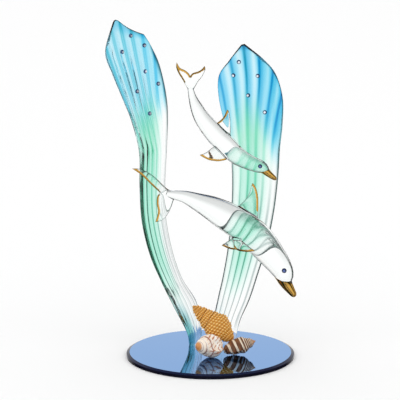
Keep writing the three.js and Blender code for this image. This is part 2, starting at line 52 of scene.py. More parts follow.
# The part's own sizes in millimetres, with its counts and shares
MIRROR_RADIUS = 64.5
MIRROR_CHAMFER = 0.3
MIRROR_THICKNESS = 3.5
BEVEL_WIDTH = 2.3
BEVEL_DROP = 1.0
JOINT_GAP = 0.3
LEFT_PLUME_HEIGHT = 250
LEFT_FOOT = (-12, 18)
RIGHT_PLUME_HEIGHT = 236
RIGHT_FOOT = (11, 23)
STEM_THICKNESS = 8.5
FAN_THICKNESS = 5.0
RIB_RELIEF = 0.4
PLUME_RIBS = 6
FAN_FOLD_DEPTH = 1.0
FAN_FOLDS = 5
CREST_SHARE = 0.05
LARGE_DOLPHIN_LENGTH = 125
SMALL_DOLPHIN_LENGTH = 94
FIN_ROOT_THICKNESS = 3.4
FIN_TIP_THICKNESS = 1.2
BODY_WIDTH_SHARE = 0.92
WHELK_LENGTH = 41
TURBAN_LENGTH = 25
BANDED_LENGTH = 26
FOOT_Z = MIRROR_THICKNESS + JOINT_GAP


# Small numeric helpers


def smoothstep(x, low, high):
    x = np.clip((x - low) / (high - low), 0, 1)
    return x * x * (3 - 2 * x)


def curve(points, t):
    """An even curve through points at t from 0 to 1."""
    p = np.asarray(points, float)
    p = np.vstack([2 * p[0] - p[1], p, 2 * p[-1] - p[-2]])
    x = np.clip(t, 0, 1) * (len(p) - 3)
    i = np.minimum(x.astype(int), len(p) - 4)
    w = (x - i)[..., None]
    a, b, c, d = p[i], p[i + 1], p[i + 2], p[i + 3]
    return 0.5 * (2 * b + (c - a) * w + (2 * a - 5 * b + 4 * c - d) * w**2 + (3 * b - a - 3 * c + d) * w**3)


def along(pairs, position):
    """A value along [position, value] pairs, eased between them."""
    pairs = np.asarray(pairs, float)
    i = np.clip(np.searchsorted(pairs[:, 0], position) - 1, 0, len(pairs) - 2)
    w = smoothstep(position, pairs[i, 0], pairs[i + 1, 0])
    return pairs[i, 1] + (pairs[i + 1, 1] - pairs[i, 1]) * w


def unit(v):
    return v / np.linalg.norm(v, axis=-1, keepdims=True)


def near(x, middle, width):
    """1 at the middle, falling away to 0 on both sides of it."""
    return np.exp(-(((x - middle) / width) ** 2))


WAVES = 5


def wave(x, y, z, seed):
    """Slow uneven noise between -1 and 1 from a few sine waves."""
    rng = np.random.default_rng(seed)
    total = 0
    for _ in range(WAVES):
        f = rng.normal(size=3)
        total = total + np.sin(f[0] * x + f[1] * y + f[2] * z + rng.uniform(0, 6.28))
    return total / WAVES


# Meshes


def shade_smooth(mesh):
    mesh.polygons.foreach_set("use_smooth", [True] * len(mesh.polygons))


def make_mesh(name, points, faces, colours=None):
    mesh = bpy.data.meshes.new(name)
    mesh.from_pydata((np.asarray(points) * MM).tolist(), [], faces)
    mesh.update()
    obj = bpy.data.objects.new(name, mesh)
    bpy.context.scene.collection.objects.link(obj)
    shade_smooth(mesh)
    if colours is not None:
        paint(mesh, colours)
    return obj


def paint(mesh, colours):
    """Gives each point of a mesh its own tint."""
    layer = mesh.color_attributes.new("tint", "FLOAT_COLOR", "POINT")
    rgba = np.ones((len(mesh.vertices), 4))
    rgba[:, :3] = colours
    layer.data.foreach_set("color", rgba.ravel())


def ring_faces(rows, sides):
    """Four-sided faces between neighbouring rings."""
    faces = []
    for r in range(rows - 1):
        for k in range(sides):
            a, b = r * sides + k, r * sides + (k + 1) % sides
            faces.append((a, b, b + sides, a + sides))
    return faces


def skin(rings, start_cap=True, end_cap=True):
    """Points and faces over an array of rings, with a fan over each end that isn't shut already."""
    rows, sides = rings.shape[:2]
    points = rings.reshape(-1, 3)
    faces = ring_faces(rows, sides)
    for wanted, first, order in ((start_cap, 0, -1), (end_cap, (rows - 1) * sides, 1)):
        if not wanted:
            continue
        hub = len(points)
        points = np.vstack([points, points[first : first + sides].mean(axis=0)])
        for k in range(sides):
            faces.append((hub, first + k, first + (k + 1) % sides)[::order])
    return points, faces


WELD_DISTANCE = 1e-7


def face_outwards(obj):
    """Welds equal points and turns every face outwards."""
    bm = bmesh.new()
    bm.from_mesh(obj.data)
    bmesh.ops.remove_doubles(bm, verts=bm.verts, dist=WELD_DISTANCE)
    bmesh.ops.recalc_face_normals(bm, faces=bm.faces)
    if bm.calc_volume(signed=True) < 0:
        bmesh.ops.reverse_faces(bm, faces=bm.faces)
    bm.to_mesh(obj.data)
    bm.free()
    return obj


def finish_piece(obj, nodes, slot, *materials):
    """Gives a skin its materials and puts it in the place of the part's own nodes."""
    for material in materials:
        obj.data.materials.append(material)
    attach(obj, BODY)
    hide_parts(*nodes)
    return obj


# Materials


def new_material(name, roughness, inputs):
    material = bpy.data.materials.new(name)
    material.use_nodes = True
    shader = material.node_tree.nodes["Principled BSDF"]
    shader.inputs["Roughness"].default_value = roughness
    for key, value in inputs.items():
        shader.inputs[key].default_value = value
    return material, shader


def plain(name, colour, roughness, metallic=0.0, **inputs):
    """A material of one colour."""
    material, shader = new_material(name, roughness, inputs)
    shader.inputs["Base Color"].default_value = (*colour, 1)
    shader.inputs["Metallic"].default_value = metallic
    return material


def painted(name, roughness, **inputs):
    """A material whose colour is the mesh's own tint."""
    material, shader = new_material(name, roughness, inputs)
    tint = material.node_tree.nodes.new("ShaderNodeVertexColor")
    tint.layer_name = "tint"
    material.node_tree.links.new(tint.outputs["Color"], shader.inputs["Base Color"])
    return material


SEE_THROUGH = {"Transmission Weight": 1.0}
PLUME_IOR = 1.36
GLASS_IOR = 1.5
CRYSTAL_IOR = 1.6

plume_glass = painted("plume_glass", 0.0, IOR=PLUME_IOR, **SEE_THROUGH)
clear_glass = plain("clear_glass", (0.96, 0.985, 0.975), 0.0, IOR=GLASS_IOR, **SEE_THROUGH)
gold = plain("gold_paint", (0.66, 0.38, 0.08), 0.2, metallic=1.0)
# Painted shade: a dark line along the mouth's groove on the beak
mouth_groove_shade = plain("mouth_groove_shade", (0.05, 0.022, 0.006), 0.3)
# The eyes' stones: a lighter copy on the table as a painted highlight, and their own dark blue on the
# facets
eye_table_highlight = plain("eye_table_highlight", (0.10, 0.15, 0.36), 0.1, metallic=0.5)
eye_facets = plain("eye_facets", (0.008, 0.014, 0.06), 0.08, IOR=CRYSTAL_IOR)
# The crystals: a near-white copy on the table as a painted highlight, and a dark blue copy round it as
# painted shade
crystal_table_highlight = plain("crystal_table_highlight", (0.86, 0.92, 1.0), 0.15, metallic=0.6)
crystal_facets_shade = plain("crystal_facets_shade", (0.06, 0.11, 0.26), 0.1, metallic=0.5)
mirror_top = plain("blue_mirror", (0.085, 0.275, 0.61), 0.015, metallic=1.0)
# The bevel and the rim are dark copies of the mirror glass, as painted shade where its edge looks dark
mirror_bevel_shade = plain("blue_mirror_bevel_shade", (0.01, 0.014, 0.045), 0.12, **{"Specular IOR Level": 0.1})
mirror_rim_shade = plain("mirror_rim_shade", (0.004, 0.004, 0.012), 0.15, **{"Specular IOR Level": 0.03})
shell_whelk = painted("golden_shell", 0.38)
shell_turban = painted("cream_shell", 0.32)
shell_banded = painted("banded_shell", 0.32)


# The mirror

MIRROR_SIDES = 240
BEVEL_FACES_UP = 0.2


def mirror():
    profile = [
        (MIRROR_RADIUS - MIRROR_CHAMFER, 0),
        (MIRROR_RADIUS, MIRROR_CHAMFER),
        (MIRROR_RADIUS, MIRROR_THICKNESS - BEVEL_DROP),
        (MIRROR_RADIUS - BEVEL_WIDTH, MIRROR_THICKNESS),
    ]
    turn = np.arange(MIRROR_SIDES) * 2 * math.pi / MIRROR_SIDES
    rings = [np.stack([r * np.cos(turn), r * np.sin(turn), 0 * turn + z], -1) for r, z in profile]
    points, faces = skin(np.array(rings))
    obj = face_outwards(make_mesh("blue_mirror", points, faces))
    finish_piece(obj, ["mirror_base"], "mirror_base", mirror_top, mirror_bevel_shade, mirror_rim_shade)
    # The top is blue mirror; the bevel and the rim take the painted shade
    for face in obj.data.polygons:
        face.use_smooth = False
        if face.normal.z > SAME_WAY:
            face.material_index = 0
        elif face.normal.z > BEVEL_FACES_UP:
            face.material_index = 1
        else:
            face.material_index = 2
    return obj


# The plumes: rungs from foot to crest, in hundredths of the height, left end and right end

LEFT_RUNGS = [
    [[-1.8, 0, 0], [1.8, 0, 0]],
    [[-2.6, -0.8, 4.2], [2.1, 0.4, 4.4]],
    [[-6.7, -2, 12.8], [0.5, 0.6, 13.5]],
    [[-10.2, -3, 20.5], [-4, 0.8, 21]],
    [[-13.8, -3.8, 29.6], [-6.9, 0.8, 29.4]],
    [[-16.1, -4.4, 40], [-8.9, 0.8, 39.7]],
    [[-16.7, -4.4, 51], [-9.2, 0.8, 50.2]],
    [[-16.8, -4.8, 61.4], [-8.6, 0.8, 61.4]],
    [[-19, -6, 71], [-8.2, 1.2, 71.8]],
    [[-21.4, -7.4, 77.6], [-8.8, 1.4, 79]],
    [[-24.4, -8.8, 85.4], [-10.6, 0.6, 87.2]],
    [[-26.5, -9.4, 92.2], [-12.8, -0.6, 92.6]],
    [[-24.4, -8.6, 100.4], [-15.2, -2.6, 96.9]],
]
RIGHT_RUNGS = [
    [[-3.4, 0.4, 0], [3.6, -0.4, 0]],
    [[-3.6, 0.4, 7], [5.2, -0.8, 7.4]],
    [[-2.2, 0, 15], [8.4, -1.6, 15.2]],
    [[-0.5, -0.5, 23], [11.1, -2.4, 24]],
    [[1.1, -1.2, 33], [13.9, -3.6, 34]],
    [[2.1, -1.7, 44], [16, -4.6, 45]],
    [[2.4, -1.7, 55], [17.2, -5.1, 56]],
    [[1.8, -1.6, 65], [17.7, -5.6, 66]],
    [[0, -1.2, 73], [18.4, -6.3, 74]],
    [[-2, -0.9, 82], [18.4, -6.6, 82.4]],
    [[-2, -1.3, 89], [16.2, -6.2, 90]],
    [[1.2, -2.4, 94], [12.2, -5.3, 94.8]],
    [[5.1, -3.8, 99.3], [6.2, -4.2, 99.6]],
]
# Where the folds of each fan have their left and right sides at a height: [left, right, height]
LEFT_SPREAD = [[-15.5, -9.5, 61.4], [-29, -13.5, 100]]
RIGHT_SPREAD = [[5, 15, 55], [-5, 20, 100]]

# The fineness of the plumes' skins, and their usual width in millimetres
PLUME_ROWS = 260
PLUME_COLUMNS = 150
CREST_ROWS = 24
OUTLINE_SAMPLES = 20001
USUAL_WIDTH = 25

# How far the feet reach into the mirror, in millimetres, and the bend in degrees that shows as an edge
FOOT_SINK = 0.05
SHARP_ANGLE = 60

# Where things begin and end up a plume, as shares of its height
FAN_OPENS = (0.5, 0.85)
FOLDS_END = (0.9, 1)
CREST_LIFTS = (0.88, 1)
LINES_JOIN_FOLDS = (0.45, 0.8)
GREEN_STARTS = (0.14, 0.34)
BLUE_BLEND = 0.16
TEAL_ENDS = (0.05, 0.2)
RIB_SHADE_STARTS = (0.03, 0.1)
RIB_SHADE_ENDS = (0.35, 0.55)
EDGE_SHADE_START = (0.05, 0.15)
EDGE_SHADE_FADE = 0.1
CREST_EDGE = (0.96, 0.99)

# Widths of the deeper colour and of the grey lines of painted shade along a plume's edges, as shares of the
# way across
EDGE_WIDTH = 0.03
EDGE_SHADE_WIDTH = 0.035

CLEAR = np.array([0.985, 0.992, 0.99])
SKY = np.array([0.09, 0.5, 0.83])
DEEP_SKY = np.array([0.04, 0.45, 0.78])
SEA_GREEN = np.array([0.12, 0.62, 0.38])
TEAL = np.array([0.06, 0.33, 0.36])
# A grey for the lines of painted shade in the plumes
PAINTED_SHADE_GREY = np.array([0.3, 0.36, 0.36])


def edge_rounding(s):
    """How thick a plume is at a share s across, as a share of its full thickness."""
    return np.sqrt(np.maximum(0, 4 * s * (1 - s)))


def even_shares(count):
    """Shares from 0 to 1 that lie evenly along the outline of a section of the usual width."""
    dense = (1 - np.cos(np.linspace(0, math.pi, OUTLINE_SAMPLES))) / 2
    outline = np.stack([USUAL_WIDTH * dense, STEM_THICKNESS / 2 * edge_rounding(dense)], -1)
    length = np.append(0, np.cumsum(np.linalg.norm(np.diff(outline, axis=0), axis=1)))
    return np.interp(np.linspace(0, length[-1], count), length, dense)


def stain(colour, amount):
    """What is left of white light after an amount of coloured glass."""
    return colour ** amount[..., None]


def plume_shares():
    """Shares t up a plume, closer together round its crest, and shares s across it."""
    steps = 1 - CREST_SHARE
    body = np.linspace(0, steps, PLUME_ROWS)
    rim = steps + CREST_SHARE * np.sin(np.linspace(0, math.pi / 2, CREST_ROWS))[1:]
    return np.concatenate([body, rim])[:, None], even_shares(PLUME_COLUMNS)[None, :]


def fold_shares(form, base):
    """How far across the fan's folds each point lies, from 0 at their left side to 1 at their right."""
    low, high = np.array(form["spread"], float)
    up = np.maximum(0, (base[..., 2] * 100 / form["height"] - low[2]) / (high[2] - low[2]))
    left, right = [(low[side] + (high[side] - low[side]) * up) * form["height"] / 100 for side in (0, 1)]
    return (base[..., 0] - left) / (right - left)


def plume_rings(form, t, s, fan):
    """Rings round a plume from foot to crest, and how far across the folds their points lie."""
    height = form["height"]
    rungs = np.array(form["rungs"], float)
    left, right = [curve(rungs[:, side], t[:, 0])[:, None, :] * height / 100 for side in (0, 1)]
    across = right - left
    width = np.linalg.norm(across, axis=-1)
    front = unit(np.stack([across[..., 1], -across[..., 0], 0 * across[..., 0]], -1))
    base = left + across * s[..., None]
    folded = fold_shares(form, base)

    rounding = edge_rounding(s)
    ribs = np.cos(2 * math.pi * PLUME_RIBS * s) * (1 - fan)
    folds = np.cos(2 * math.pi * FAN_FOLDS * folded) * fan * (1 - smoothstep(t, *FOLDS_END))
    half = (STEM_THICKNESS + (FAN_THICKNESS - STEM_THICKNESS) * fan) / 2 * rounding
    relief = RIB_RELIEF / 2 * ribs * rounding
    hollow = -form["cup"] * fan * width * 4 * s * (1 - s) - FAN_FOLD_DEPTH / 2 * folds * rounding
    lift = smoothstep(t, *CREST_LIFTS) * s * np.exp(1 - s / form["tip_at"]) / form["tip_at"]
    base[..., 2] += form["crest_lift"] * height * lift

    beyond = np.clip((t - (1 - CREST_SHARE)) / CREST_SHARE, 0, 1)
    closing = np.sqrt(1 - beyond**2)
    sides = [base + front * (hollow + side * closing * (half - relief))[..., None] for side in (1, -1)]
    rings = np.concatenate([sides[0], sides[1][:, -2:0:-1]], axis=1)
    rings = rings + np.array([*form["foot"], FOOT_Z])
    rings[0, :, 2] = MIRROR_THICKNESS - FOOT_SINK
    return rings, folded


def plume_tint(look, t, s, fan, folded):
    """The colour of a plume's glass: blue over green, in streaks along the flutes, with deeper colour and
    grey lines of painted shade along the edges, painted shade in the stem's rib grooves and a painted
    highlight on each flute's ridge.
    """
    seed = look["seed"]
    # The way across, measured between the edges below and between the folds above, and a little uneven
    line = s + (np.clip(folded, -1, 2) - s) * smoothstep(t, *LINES_JOIN_FOLDS)
    line = line + 0.02 * wave(4 * line, 1.5 * t + 0 * s, 0, seed + 2)
    # Broad and fine streaks along the glass, and for each flute a groove, where the colour is deeper, and a
    # ridge with a painted highlight
    streak = 0.5 + 0.5 * wave(16 * line, 2.2 * t + 0 * s, 0, seed)
    fine = 0.5 + 0.5 * wave(55 * line, 1.6 * t + 0 * s, 0, seed + 1)
    phase = 2 * math.pi * (PLUME_RIBS + (FAN_FOLDS - PLUME_RIBS) * fan) * line
    groove = (0.5 + 0.5 * np.cos(phase - 0.9)) ** 11 * (0.5 + 0.8 * streak)
    # Painted highlight: the ridge of each flute is paler, as if lit
    ridge_highlight = (0.5 + 0.5 * np.cos(phase + 1.7)) ** 1.5
    # How much coloured glass there is to see through, less on the flute ridges as a painted highlight
    edge = near(s, 0, EDGE_WIDTH) + near(s, 1, EDGE_WIDTH) + smoothstep(t, *CREST_EDGE)
    depth = 0.7 + 0.4 * (streak - 0.5) - 0.2 * (fine - 0.5) - 0.35 * ridge_highlight + 0.9 * groove + 0.5 * edge * fan
    depth = np.maximum(depth, 0.05)

    blue_start = look["blue_from"](s)
    blue = smoothstep(t + 0.08 * (streak - 0.5), blue_start, blue_start + BLUE_BLEND)
    green = smoothstep(t, *GREEN_STARTS) * (1 - (0.95 - 0.4 * groove) * blue) * look["green_where"](t, s)
    sky = SKY + (DEEP_SKY - SKY) * smoothstep(s + 0.2 * streak, 0.6, 1.0)[..., None]
    teal = (1 - smoothstep(t, *TEAL_ENDS)) * (1 - smoothstep(s + 0.5 * streak, 0.3, 0.9))
    # Painted shade: grey lines in the rib grooves of the stem, fading out up the plume
    rib_shade = 0.9 * groove * (1 - smoothstep(t, *RIB_SHADE_ENDS)) * smoothstep(t, *RIB_SHADE_STARTS)
    # Painted shade: grey lines along the edges, fading out higher up
    edge_shade = look["left_edge_shade"] * near(s, 0, EDGE_SHADE_WIDTH)
    edge_shade = edge_shade + look["right_edge_shade"] * near(s, 1, EDGE_SHADE_WIDTH)
    edge_shade = edge_shade * (1 - smoothstep(t, look["edge_shade_end"] - EDGE_SHADE_FADE, look["edge_shade_end"]))
    edge_shade = edge_shade * smoothstep(t, *EDGE_SHADE_START)

    tint = CLEAR * stain(sky, look["blue"] * depth * blue)
    tint = tint * stain(SEA_GREEN, green * (0.08 + 0.72 * depth))
    tint = tint * stain(TEAL, look["teal"] * teal)
    return tint * stain(PAINTED_SHADE_GREY, rib_shade) * stain(PAINTED_SHADE_GREY, edge_shade)


def plume(name, node, form, look):
    """A plume's skin. The last of its colours is for the middle of its foot."""
    t, s = plume_shares()
    fan = smoothstep(t, *FAN_OPENS)
    rings, folded = plume_rings(form, t, s, fan)
    tint = plume_tint(look, t, s, fan, folded)
    tint = np.concatenate([tint, tint[:, -2:0:-1]], axis=1).reshape(-1, 3)
    points, faces = skin(rings, end_cap=False)
    obj = face_outwards(make_mesh(name, points, faces, np.vstack([tint, CLEAR])))
    obj.data.set_sharp_from_angle(angle=math.radians(SHARP_ANGLE))
    return finish_piece(obj, [node], "plume_glass", plume_glass)


def left_blue(s):
    return 0.55 + 0.13 * s


def right_blue(s):
    return 0.61 - 0.1 * smoothstep(s, 0.5, 1.0) - 0.04 * (1 - smoothstep(s, 0.0, 0.4))


def left_green(t, s):
    """Green on the left side, which spreads higher up, and more of it along the left edge below."""
    side = 1 - smoothstep(s, 0.25 + 0.3 * t, 0.6 + 0.4 * t)
    return side + 1.2 * near(s, 0, 0.09) * (1 - smoothstep(t, 0.5, 0.65))


def right_green(t, s):
    """Green along the middle, and a little all over higher up."""
    return near(s, 0.42, 0.26) + 0.25 * smoothstep(t, 0.5, 0.7)


LEFT_FORM = {
    "height": LEFT_PLUME_HEIGHT,
    "foot": LEFT_FOOT,
    "rungs": LEFT_RUNGS,
    "spread": LEFT_SPREAD,
    "crest_lift": 0.018,
    "tip_at": 0.16,
    "cup": 0.05,
}
RIGHT_FORM = {
    "height": RIGHT_PLUME_HEIGHT,
    "foot": RIGHT_FOOT,
    "rungs": RIGHT_RUNGS,
    "spread": RIGHT_SPREAD,
    "crest_lift": 0,
    "tip_at": 0.5,
    "cup": 0.08,
}
# How strong each colour is, where the blue and green lie, and the grey lines of painted shade along the two
# edges
LEFT_LOOK = {
    "blue": 0.6,
    "blue_from": left_blue,
    "green_where": left_green,
    "teal": 1.0,
    "left_edge_shade": 0,
    "right_edge_shade": 2.2,
    "edge_shade_end": 0.96,
    "seed": 4,
}
RIGHT_LOOK = {
    "blue": 1.0,
    "blue_from": right_blue,
    "green_where": right_green,
    "teal": 0.1,
    "left_edge_shade": 1.6,
    "right_edge_shade": 1.2,
    "edge_shade_end": 0.62,
    "seed": 21,
}


# The dolphins, in hundredths of their length: body [x, z, half thickness], fins [x, z, y]

LARGE_BODY = [
    [-52.7, 22.9, 1.8],
    [-48.5, 22.4, 2.7],
    [-41.2, 21.2, 3.9],
    [-33.4, 18.3, 5.6],
    [-25, 14.8, 7.5],
    [-16.4, 10.3, 8.9],
    [-7.9, 5.3, 9.4],
    [0, 0, 9.5],
    [6.3, -6.6, 9.2],
    [12, -13.4, 8.2],
    [15.9, -18.4, 7.4],
    [18.6, -22.8, 6.5],
    [19.7, -26.2, 5.7],
    [20.3, -28.8, 4.6],
    [21.3, -31.1, 3.6],
    [22.8, -33.4, 3],
    [24.4, -35.7, 2.4],
    [25.6, -37.4, 1.9],
    [26.4, -38.5, 0.9],
]
LARGE_DORSAL = {
    "lead": [[3, 6, 0], [3.6, 15, 0], [3.3, 23.2, 0], [1.9, 28.4, 0], [-0.2, 31.4, 0]],
    "trail": [[-12, 14, 0], [-5.6, 19.8, 0], [-2.3, 24.6, 0], [-1.1, 29, 0], [-0.2, 31.4, 0]],
}
LARGE_UPPER_FLUKE = {
    "lead": [
        [-49.5, 24.4, 0],
        [-53.7, 27.3, -0.6],
        [-60.7, 34.6, -3],
        [-67.2, 38.8, -6],
        [-73, 39.6, -8.5],
    ],
    "trail": [
        [-54, 20.6, 0],
        [-58, 24.4, -0.6],
        [-62.3, 29, -3],
        [-67.4, 35, -6],
        [-73, 39.6, -8.5],
    ],
}
LARGE_LOWER_FLUKE = {
    "lead": [
        [-47.6, 22.4, 0],
        [-49.8, 15, -0.6],
        [-52.2, 10, -1.6],
        [-55.4, 6.7, -2.6],
        [-59.5, 5.6, -3.6],
    ],
    "trail": [
        [-54.6, 24.4, 0],
        [-58.5, 21.9, -0.6],
        [-59, 17, -1.6],
        [-58, 12, -2.6],
        [-59.5, 5.6, -3.6],
    ],
}
LARGE_FAR_FLIPPER = {
    "lead": [[-7, 2, 1], [-12.7, -3.5, 2.4], [-16.4, -6.5, 3.4], [-19.8, -9, 4]],
    "trail": [[-5.4, -6.5, 1], [-9.7, -10.9, 2.4], [-14.6, -11, 3.4], [-19.8, -9, 4]],
}
LARGE_NEAR_FLIPPER = {
    "lead": [[-10.4, 1, -4], [-5, -3, -8.5], [-0.6, -5.8, -11], [3.4, -8.2, -12.6]],
    "trail": [[-11.6, -3.6, -4], [-9.4, -8.4, -8.5], [-3, -9.4, -11], [3.4, -8.2, -12.6]],
}
SMALL_BODY = [
    [-37.4, 53.3, 2.2],
    [-35.7, 46.1, 3.3],
    [-32.6, 38.1, 5],
    [-28.5, 30, 6.3],
    [-22.6, 22.3, 7.3],
    [-16.1, 15, 7.9],
    [-8.5, 8.1, 8],
    [0, 0, 7.5],
    [8.5, -4.9, 6.5],
    [15.3, -7.6, 5.8],
    [19.6, -9, 5.3],
    [22.5, -10.7, 4.4],
    [24.4, -12.7, 3.3],
    [26.8, -14.8, 2.7],
    [29.6, -16.9, 2.2],
    [31.8, -18.5, 1.7],
    [32.9, -19.3, 0.8],
]
SMALL_DORSAL = {
    "lead": [[-4.4, 10, 0], [-4.4, 20.3, 0], [-4.9, 30, 0], [-6, 35.2, 0], [-7.4, 36.9, 0]],
    "trail": [[-19, 23.4, 0], [-14.1, 27, 0], [-10.5, 30.6, 0], [-8.5, 34.5, 0], [-7.4, 36.9, 0]],
}
SMALL_LEFT_FLUKE = {
    "lead": [
        [-38.6, 50.1, 0],
        [-43, 58.7, -1],
        [-46.6, 64.9, -2.4],
        [-48.4, 70.2, -3.6],
        [-47.8, 74.8, -4.6],
    ],
    "trail": [
        [-35, 54.1, 0],
        [-37.4, 63.7, -1],
        [-40.8, 67.7, -2.4],
        [-45, 69.9, -3.6],
        [-47.8, 74.8, -4.6],
    ],
}
SMALL_RIGHT_FLUKE = {
    "lead": [
        [-35.8, 50.1, 0],
        [-31.4, 58, 1],
        [-28, 62.7, 2.4],
        [-25.8, 67.9, 3.6],
        [-26.5, 71.3, 4.6],
    ],
    "trail": [
        [-39.4, 54.1, 0],
        [-37.2, 64.1, 1],
        [-31.4, 66.8, 2.4],
        [-28.6, 68.6, 3.6],
        [-26.5, 71.3, 4.6],
    ],
}
SMALL_NEAR_FLIPPER = {
    "lead": [[-13.3, 9.8, -3], [-19, 6.1, -6.5], [-23.3, 2.8, -9], [-28.4, 0.7, -10.5]],
    "trail": [[-2, -1.6, -3], [-10.9, -4.5, -6.5], [-20.5, -3.6, -9], [-28.4, 0.7, -10.5]],
}
SMALL_FAR_FLIPPER = {
    "lead": [[-12.3, 7.8, 3], [-17, 4.6, 5.5], [-20.8, 1.4, 7.5], [-25, -1.6, 9]],
    "trail": [[-4, -1, 3], [-10, -5, 5.5], [-18, -5, 7.5], [-25, -1.6, 9]],
}
# Which edges of which fins carry gold
LARGE_GOLD = [
    (LARGE_UPPER_FLUKE, "trail"),
    (LARGE_LOWER_FLUKE, "trail"),
    (LARGE_DORSAL, "lead"),
    (LARGE_FAR_FLIPPER, "trail"),
    (LARGE_NEAR_FLIPPER, "trail"),
]
SMALL_GOLD = [
    (SMALL_LEFT_FLUKE, "lead"),
    (SMALL_LEFT_FLUKE, "trail"),
    (SMALL_RIGHT_FLUKE, "trail"),
    (SMALL_DORSAL, "trail"),
    (SMALL_NEAR_FLIPPER, "trail"),
    (SMALL_FAR_FLIPPER, "trail"),
]
# The beak is gold beyond a plane, given by a point on it and the way it faces
LARGE = {
    "length": LARGE_DOLPHIN_LENGTH,
    "yaw": -9,
    "body": LARGE_BODY,
    "fins": [LARGE_DORSAL, LARGE_UPPER_FLUKE, LARGE_LOWER_FLUKE, LARGE_FAR_FLIPPER, LARGE_NEAR_FLIPPER],
    "gold_edges": LARGE_GOLD,
    "beak_root": (19.3, -28.1),
    "beak_way": (-0.36, -0.93),
}
SMALL = {
    "length": SMALL_DOLPHIN_LENGTH,
    "yaw": -10,
    "body": SMALL_BODY,
    "fins": [SMALL_DORSAL, SMALL_LEFT_FLUKE, SMALL_RIGHT_FLUKE, SMALL_NEAR_FLIPPER, SMALL_FAR_FLIPPER],
    "gold_edges": SMALL_GOLD,
    "beak_root": (23.7, -12),
    "beak_way": (0.27, -0.96),
}

# The fineness of the skins, and the lengths in millimetres: voxels, gold's width, the mouth's width
BODY_ROWS = 160
BODY_SIDES = 72
FIN_ROWS = 60
FIN_SIDES = 40
FIN_END = 0.985
VOXEL = 0.42
SMOOTHING_ROUNDS = 6
GOLD_BAND = 2.0
GOLD_SAMPLES = 50
GOLD_FIRST_SAMPLE = 12
MOUTH_WIDTH = 0.5
MOUTH_SPAN = (0.74, 0.97)
MOUTH_SAMPLES = 30


def body_rings(stations, scale):
    stations = np.asarray(stations, float)
    t = np.linspace(0, 1, BODY_ROWS)
    centre = curve(np.stack([stations[:, 0], 0 * stations[:, 0], stations[:, 1]], -1), t) * scale
    half = curve(stations[:, 2:3], t) * scale
    way = unit(np.gradient(centre, axis=0))
    up = np.stack([-way[:, 2], 0 * t, way[:, 0]], -1)
    turn = np.arange(BODY_SIDES) * 2 * math.pi / BODY_SIDES
    rise = up[:, None] * (half * np.cos(turn))[..., None]
    width = np.array([0, 1, 0]) * (half * BODY_WIDTH_SHARE * np.sin(turn))[..., None]
    return centre[:, None] + rise + width


def edge_points(points, scale, t):
    return curve([[x, y, z] for x, z, y in points], t) * scale


def fin_rings(fin, scale):
    t = np.linspace(0, FIN_END, FIN_ROWS)
    lead, trail = [edge_points(fin[side], scale, t) for side in ("lead", "trail")]
    chord = trail - lead
    flat = unit(np.cross(chord, np.gradient((lead + trail) / 2, axis=0)))
    thickness = FIN_ROOT_THICKNESS + (FIN_TIP_THICKNESS - FIN_ROOT_THICKNESS) * np.sqrt(t)
    turn = np.arange(FIN_SIDES) * 2 * math.pi / FIN_SIDES
    along_chord = chord[:, None] * ((1 - np.cos(turn)) / 2)[None, :, None]
    out = (flat * thickness[:, None] / 2)[:, None] * np.sin(turn)[None, :, None]
    return lead[:, None] + along_chord + out


def blend_solid(obj):
    """Fuses a mesh of overlapping solids into one smooth skin."""
    remesh = obj.modifiers.new("fuse", "REMESH")
    remesh.mode = "VOXEL"
    remesh.voxel_size = VOXEL * MM
    smooth = obj.modifiers.new("smooth", "SMOOTH")
    smooth.factor = 0.5
    smooth.iterations = SMOOTHING_ROUNDS
    seen = obj.evaluated_get(bpy.context.evaluated_depsgraph_get())
    mesh = bpy.data.meshes.new_from_object(seen)
    obj.modifiers.clear()
    obj.data = mesh
    shade_smooth(mesh)


def coordinates(obj):
    out = np.empty(len(obj.data.vertices) * 3)
    obj.data.vertices.foreach_get("co", out)
    return out.reshape(-1, 3) / MM


def set_coordinates(obj, points):
    obj.data.vertices.foreach_set("co", (points * MM).ravel())
    obj.data.update()


def turned(points, angle):
    c, s = math.cos(angle), math.sin(angle)
    x, y = points[..., 0], points[..., 1]
    return np.stack([c * x - s * y, s * x + c * y, points[..., 2]], -1)


def fit_to_node(points, node):
    """Moves points so that their box has the middle of the node's box."""
    low, high = [np.array(corner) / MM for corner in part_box(node)]
    return points + (low + high - points.min(axis=0) - points.max(axis=0)) / 2


def distance_to(points, path):
    """How far each point is from a path of straight pieces."""
    nearest = np.full(len(points), np.inf)
    for a, b in zip(path[:-1], path[1:]):
        ab = b - a
        w = np.clip(((points - a) @ ab) / (ab @ ab), 0, 1)[:, None]
        nearest = np.minimum(nearest, np.linalg.norm(points - a - w * ab, axis=1))
    return nearest


def gilded(local, form, scale):
    """Which points carry gold paint: those near the chosen fin edges and those of the beak."""
    outer = np.linspace(0, 1, GOLD_SAMPLES)[GOLD_FIRST_SAMPLE:]
    gilt = (local[:, [0, 2]] - np.array(form["beak_root"]) * scale) @ np.array(form["beak_way"]) > 0
    for fin, side in form["gold_edges"]:
        gilt |= distance_to(local, edge_points(fin[side], scale, outer)) < GOLD_BAND
    return gilt


def in_mouth(local, form, scale):
    """Which points lie on the line of the mouth, seen from the side."""
    spine = np.array([[x, 0, z] for x, z, _ in form["body"]]) * scale
    line = curve(spine, np.linspace(*MOUTH_SPAN, MOUTH_SAMPLES))
    return distance_to(local * [1, 0, 1], line) < MOUTH_WIDTH


